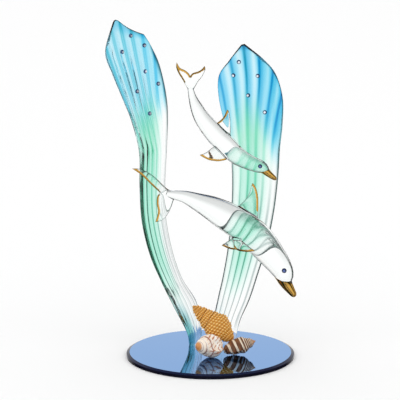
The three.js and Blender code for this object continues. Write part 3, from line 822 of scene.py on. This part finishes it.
def dolphin(name, node, form):
    scale = form["length"] / 100
    points, faces = skin(body_rings(form["body"], scale))
    for fin in form["fins"]:
        fin_points, fin_faces = skin(fin_rings(fin, scale))
        faces = faces + [tuple(i + len(points) for i in face) for face in fin_faces]
        points = np.vstack([points, fin_points])
    obj = face_outwards(make_mesh(name, points, faces))
    blend_solid(obj)
    local = coordinates(obj)
    gilt = gilded(local, form, scale)
    mouth = in_mouth(local, form, scale)
    set_coordinates(obj, fit_to_node(turned(local, math.radians(form["yaw"])), node))
    finish_piece(obj, [node], "clear_glass", clear_glass, gold, mouth_groove_shade)
    # Faces on the mouth line take its painted shade, and faces of the gilt points take the gold paint
    for face in obj.data.polygons:
        if all(mouth[v] for v in face.vertices):
            face.material_index = 2
        elif all(gilt[v] for v in face.vertices):
            face.material_index = 1
    return obj


# The shells: outlines as [share of the length from the apex, radius as a share of the length]

WHELK = {
    "length": WHELK_LENGTH,
    "axis": [0.76, -0.22, -0.61],
    "lip": [-0.3, 0.9, -0.3],
    "outline": [
        [0, 0.012],
        [0.12, 0.088],
        [0.25, 0.142],
        [0.45, 0.205],
        [0.6, 0.26],
        [0.75, 0.215],
        [0.88, 0.13],
        [1, 0.05],
    ],
    "last_suture": 0.34,
    "growth": 1.55,
    "groove": 0.14,
    "mouth": 0.3,
    "flare": 0.12,
}
TURBAN = {
    "length": TURBAN_LENGTH,
    "axis": [0.72, 0.68, -0.1],
    "lip": [1, -0.8, -0.3],
    "outline": [
        [0, 0.03],
        [0.08, 0.14],
        [0.2, 0.23],
        [0.4, 0.31],
        [0.6, 0.325],
        [0.8, 0.26],
        [0.93, 0.16],
        [1, 0.1],
    ],
    "last_suture": 0.22,
    "growth": 1.75,
    "groove": 0.12,
    "mouth": 0.3,
    "flare": 0.4,
}
BANDED = {
    "length": BANDED_LENGTH,
    "axis": [-0.94, -0.1, -0.27],
    "lip": [-0.2, -0.9, -0.4],
    "outline": [
        [0, 0.01],
        [0.2, 0.15],
        [0.42, 0.25],
        [0.7, 0.23],
        [0.9, 0.15],
        [1, 0.07],
    ],
    "last_suture": 0.4,
    "growth": 1.5,
    "groove": 0.1,
    "mouth": 0.3,
    "flare": 0.05,
}

# The fineness of the skins, and where the features of a shell lie along it and round it
SHELL_ROWS = 260
SHELL_COLUMNS = 200
APEX_SHARE = 0.015
SHELL_REACH = 0.98
ROW_CROWDING = 1.15
BODY_WHORL_FULL = 0.6
BODY_WHORL_ENDS = 0.8
MOUTH_AT = 0.9
MOUTH_HALF_WIDTH = 0.08
LIP_FADE = 5
FULL_RELIEF_RADIUS = 3


def shell(name, node, slot, form, material, relief, colouring):
    """A coiled shell: seams where whorls meet, a dent for the mouth, a flared lip and a relief."""
    rows = np.linspace(0, 1, SHELL_ROWS) ** ROW_CROWDING
    share = (APEX_SHARE + SHELL_REACH * rows)[:, None]
    around = (np.arange(SHELL_COLUMNS) / SHELL_COLUMNS)[None, :]
    turns = np.log(share / form["last_suture"]) / math.log(form["growth"])
    body = smoothstep(share, form["last_suture"], BODY_WHORL_FULL)
    body = body * (1 - smoothstep(share, BODY_WHORL_ENDS, 1))
    whorl = turns - around
    within = whorl - np.floor(whorl)
    seam = np.where(whorl > 0, 0, 1 - np.sqrt(np.sin(math.pi * within)))
    dent = form["mouth"] * body * near(around, MOUTH_AT, MOUTH_HALF_WIDTH)
    flared = form["flare"] * body * np.exp(-LIP_FADE * around)
    radius = along(form["outline"], share) * form["length"]
    radius = radius * (1 - form["groove"] * seam) * (1 - dent) * (1 + flared)
    radius = radius + relief(share, around) * np.minimum(1, radius / FULL_RELIEF_RADIUS)
    turn = 2 * math.pi * around
    local = np.stack([radius * np.cos(turn), radius * np.sin(turn), share * form["length"] + 0 * turn], -1)
    z_way = unit(np.array(form["axis"], float))
    y_way = unit(np.cross(z_way, np.array(form["lip"], float)))
    x_way = np.cross(y_way, z_way)
    points, faces = skin(local @ np.array([x_way, y_way, z_way]))
    tint = colouring(share, around, whorl, within)
    tint = np.vstack([tint.reshape(-1, 3), tint[0].mean(axis=0), tint[-1].mean(axis=0)])
    obj = face_outwards(make_mesh(name, fit_to_node(points, node), faces, tint))
    return finish_piece(obj, [node], slot, material)


def mix(a, b, w):
    return np.asarray(a) + (np.asarray(b) - np.asarray(a)) * np.asarray(w)[..., None]


# The whelk: golden, with beads where cords that wind round it cross its ribs

WHELK_CORD = 2.1
WHELK_RIBS = 24
WHELK_RIB_TWIST = 0.25
BEAD_HEIGHT = 0.9
BEAD_SINK = 0.4
# Colours of the painted shade in the grooves, the gold, the painted highlight on the beads and the painted
# shade in the seams
WHELK_GROOVE_SHADE = [0.52, 0.19, 0.015]
WHELK_GOLD = [0.88, 0.46, 0.075]
WHELK_BEAD_HIGHLIGHT = [1.0, 0.82, 0.46]
WHELK_SEAM_SHADE = [0.28, 0.08, 0.006]


def whelk_beads(share, around):
    """How far the surface stands out, from 0 in a groove to 1 on top of a bead."""
    cords = 0.5 + 0.5 * np.cos(2 * math.pi * (share * WHELK_LENGTH / WHELK_CORD + around))
    ribs = 0.5 + 0.5 * np.cos(2 * math.pi * WHELK_RIBS * (around + WHELK_RIB_TWIST * share))
    return 0.25 * cords + 0.25 * ribs + 0.5 * cords * ribs


def whelk_relief(share, around):
    return BEAD_HEIGHT * whelk_beads(share, around) - BEAD_SINK


def whelk_colour(share, around, whorl, within):
    raised = whelk_beads(share, around)
    # Painted shade in the grooves, a painted highlight on top of the beads and painted shade in the seams
    # between whorls
    base = mix(WHELK_GROOVE_SHADE, WHELK_GOLD, smoothstep(raised, 0.05, 0.6))
    base = mix(base, WHELK_BEAD_HIGHLIGHT, 0.9 * smoothstep(raised, 0.7, 0.98))
    seam = (whorl < 0) * smoothstep(np.abs(within - 0.5), 0.36, 0.5)
    return mix(base, WHELK_SEAM_SHADE, 0.8 * smoothstep(seam, 0.4, 1))


# The turban shell: cream, with slanted red-brown flecks, a line round each whorl and a warm tip

TURBAN_CORD = 1.5
TURBAN_RELIEF = 0.12
TURBAN_FLECKS = 13
TURBAN_SEED = 11
TURBAN_ROSE = [1.0, 0.84, 0.68]
TURBAN_CREAM = [1.0, 0.97, 0.9]
TURBAN_FLECK = [0.55, 0.15, 0.04]
TURBAN_LINE = [0.45, 0.14, 0.05]
TURBAN_TIP = [0.72, 0.30, 0.09]


def turban_relief(share, around):
    return TURBAN_RELIEF * np.cos(2 * math.pi * share * TURBAN_LENGTH / TURBAN_CORD)


def turban_colour(share, around, whorl, within):
    slant = np.cos(2 * math.pi * (TURBAN_FLECKS * around + 5 * share))
    flecks = slant + 0.9 * wave(60 * around, 30 * share, 9 * within, TURBAN_SEED)
    base = mix(TURBAN_ROSE, TURBAN_CREAM, 0.5 + 0.5 * np.cos(2 * math.pi * within))
    base = mix(base, TURBAN_FLECK, 0.85 * smoothstep(flecks, 0.5, 1.0) * smoothstep(share, 0.18, 0.4))
    line = (share < 0.5) * (1 - smoothstep(np.minimum(within, 1 - within), 0.02, 0.13))
    base = mix(base, TURBAN_LINE, 0.85 * line)
    return mix(TURBAN_TIP, base, smoothstep(share + 0 * around, 0.04, 0.11))


# The banded shell: brown, with cream bands that wind down the body whorl and along the spire

BANDED_CORD = 1.3
BANDED_RELIEF = 0.16
BANDED_STRIPES = 3.1
BANDED_SEED = 5
BANDED_DARK = [0.11, 0.035, 0.012]
BANDED_BROWN = [0.30, 0.12, 0.045]
BANDED_CREAM = [0.88, 0.76, 0.60]
BANDED_TIP = [0.50, 0.22, 0.08]


def banded_relief(share, around):
    return BANDED_RELIEF * np.cos(2 * math.pi * share * BANDED_LENGTH / BANDED_CORD)


def banded_colour(share, around, whorl, within):
    down = (share - BANDED["last_suture"]) / (1 - BANDED["last_suture"])
    on_body = np.cos(2 * math.pi * (BANDED_STRIPES * down - around))
    on_spire = np.cos(2 * math.pi * 2 * within)
    stripe = np.where(whorl > 0, on_body, on_spire)
    mottle = wave(30 * around, 26 * share, 3 * within, BANDED_SEED)
    brown = mix(BANDED_DARK, BANDED_BROWN, 0.5 + 0.8 * mottle)
    out = mix(brown, BANDED_CREAM, smoothstep(stripe + 0.15 * mottle, 0.35, 0.6))
    return mix(BANDED_TIP, out, smoothstep(share + 0 * around, 0.04, 0.16))


# Everything in its place

mirror()
plume("left_fluted_plume", "left_plume", LEFT_FORM, LEFT_LOOK)
plume("right_fluted_plume", "right_plume", RIGHT_FORM, RIGHT_LOOK)
dolphin("large_glass_dolphin", "large_dolphin", LARGE)
dolphin("small_glass_dolphin", "small_dolphin", SMALL)
shell("beaded_whelk", "whelk_shell", "golden_shell", WHELK, shell_whelk, whelk_relief, whelk_colour)
shell("flecked_turban", "turban_shell", "cream_shell", TURBAN, shell_turban, turban_relief, turban_colour)
shell("striped_shell", "banded_shell", "banded_shell", BANDED, shell_banded, banded_relief, banded_colour)


def cut_stone(obj, table, facets):
    """Gives a flat-backed stone one material on its table and another round it: a lighter one on the table
    as a painted highlight, a darker one round it.
    """
    obj.data.materials.clear()
    obj.data.materials.append(table)
    obj.data.materials.append(facets)
    way = -max(obj.data.polygons, key=lambda face: face.area).normal
    for face in obj.data.polygons:
        face.material_index = 0 if face.normal.dot(way) > SAME_WAY else 1


for node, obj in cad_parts.items():
    if "eye" in node:
        cut_stone(obj, eye_table_highlight, eye_facets)
        obj.visible_transmission = False
    elif "crystal" in node:
        cut_stone(obj, crystal_table_highlight, crystal_facets_shade)


# The studio: a white floor, a white surround for the eye, and dark flags that only glass and gloss see

FLOOR_SIZE = 60
FLOOR_WHITE = (0.93, 0.93, 0.93)
STUDIO_LIGHT = 1.15
GLASS_LIGHT = 1.05

# Bands of directions: their middle, half their width and half the width of their soft edges
SIDE_FLAG = (1.13, 0.245, 0.045)
SIDE_SHADE = (1.13, 0.375, 0.225)
UPPER_FLAG = (0.78, 0.12, 0.05)
LOWER_FLAG = (-0.87, 0.08, 0.04)
STEEP = (0.25, 0.6)

# How bright the bands are, where the surround is 1
SIDE_DARK = 0.02
UPPER_DARK = 0.25
LOWER_DARK = 0.8
SHADE = 0.72

bpy.ops.mesh.primitive_plane_add(size=FLOOR_SIZE)
floor = bpy.context.object
floor.name = "studio_floor"
floor.data.materials.append(plain("studio_white", FLOOR_WHITE, 1.0))
floor.visible_transmission = False
floor.visible_glossy = False

world = bpy.data.worlds.new("studio")
bpy.context.scene.world = world
world.use_nodes = True
nodes, links = world.node_tree.nodes, world.node_tree.links
background = nodes["Background"]
coordinate = nodes.new("ShaderNodeTexCoord")
split = nodes.new("ShaderNodeSeparateXYZ")
links.new(coordinate.outputs["Generated"], split.inputs[0])


def math_node(operation, a, b=None):
    node = nodes.new("ShaderNodeMath")
    node.operation = operation
    for socket, value in zip(node.inputs, (a, b)):
        if value is None:
            continue
        if isinstance(value, (int, float)):
            socket.default_value = value
        else:
            links.new(value, socket)
    return node.outputs[0]


def ramp(value, low, high, dark, bright):
    node = nodes.new("ShaderNodeMapRange")
    node.interpolation_type = "SMOOTHSTEP"
    links.new(value, node.inputs["Value"])
    for key, number in (("From Min", low), ("From Max", high), ("To Min", dark), ("To Max", bright)):
        node.inputs[key].default_value = number
    return node.outputs["Result"]


def flag(value, band, dark):
    """Dark in a band of values, bright outside it, with soft edges."""
    middle, half, soft = band
    away = math_node("ABSOLUTE", math_node("SUBTRACT", value, middle))
    return ramp(away, half - soft, half + soft, dark, 1.0)


# Directions by their bearing, in radians from the front or back, and by their height from -1 to 1
sideways = math_node("ABSOLUTE", split.outputs["X"])
depthways = math_node("ABSOLUTE", split.outputs["Y"])
height = split.outputs["Z"]
bearing = math_node("ARCTAN2", sideways, depthways)
side_flags = flag(bearing, SIDE_FLAG, SIDE_DARK)
side_shade = flag(bearing, SIDE_SHADE, SHADE)
upper_flag = flag(height, UPPER_FLAG, UPPER_DARK)
lower_flag = flag(height, LOWER_FLAG, LOWER_DARK)
ring_shade = ramp(math_node("ABSOLUTE", height), *STEEP, 1.0, SHADE)
brightness = GLASS_LIGHT
for shade in (side_flags, side_shade, upper_flag, lower_flag, ring_shade):
    brightness = math_node("MULTIPLY", shade, brightness)

# The eye and the diffuse light see the plain white surround
path = nodes.new("ShaderNodeLightPath")
unflagged = math_node("MAXIMUM", path.outputs["Is Camera Ray"], path.outputs["Is Diffuse Ray"])
choose = nodes.new("ShaderNodeMix")
choose.data_type = "FLOAT"
links.new(unflagged, choose.inputs[0])
links.new(brightness, choose.inputs[2])
choose.inputs[3].default_value = STUDIO_LIGHT
background.inputs["Color"].default_value = (1, 1, 1, 1)
links.new(choose.outputs[0], background.inputs["Strength"])


# The camera of the photograph

CAMERA_PLACE = (-7.97, -1250.26, 359.25)
CAMERA_DOWN = 10.754
CAMERA_LENS = 151.2
SENSOR_WIDTH = 36

camera_data = bpy.data.cameras.new("camera")
camera_data.sensor_width = SENSOR_WIDTH
camera_data.lens = CAMERA_LENS
camera_data.clip_end = 100
camera = bpy.data.objects.new("camera", camera_data)
camera.location = [v * MM for v in CAMERA_PLACE]
camera.rotation_euler = (math.radians(90 - CAMERA_DOWN), 0, 0)
bpy.context.scene.collection.objects.link(camera)
bpy.context.scene.camera = camera
bpy.context.scene.view_settings.view_transform = "Standard"
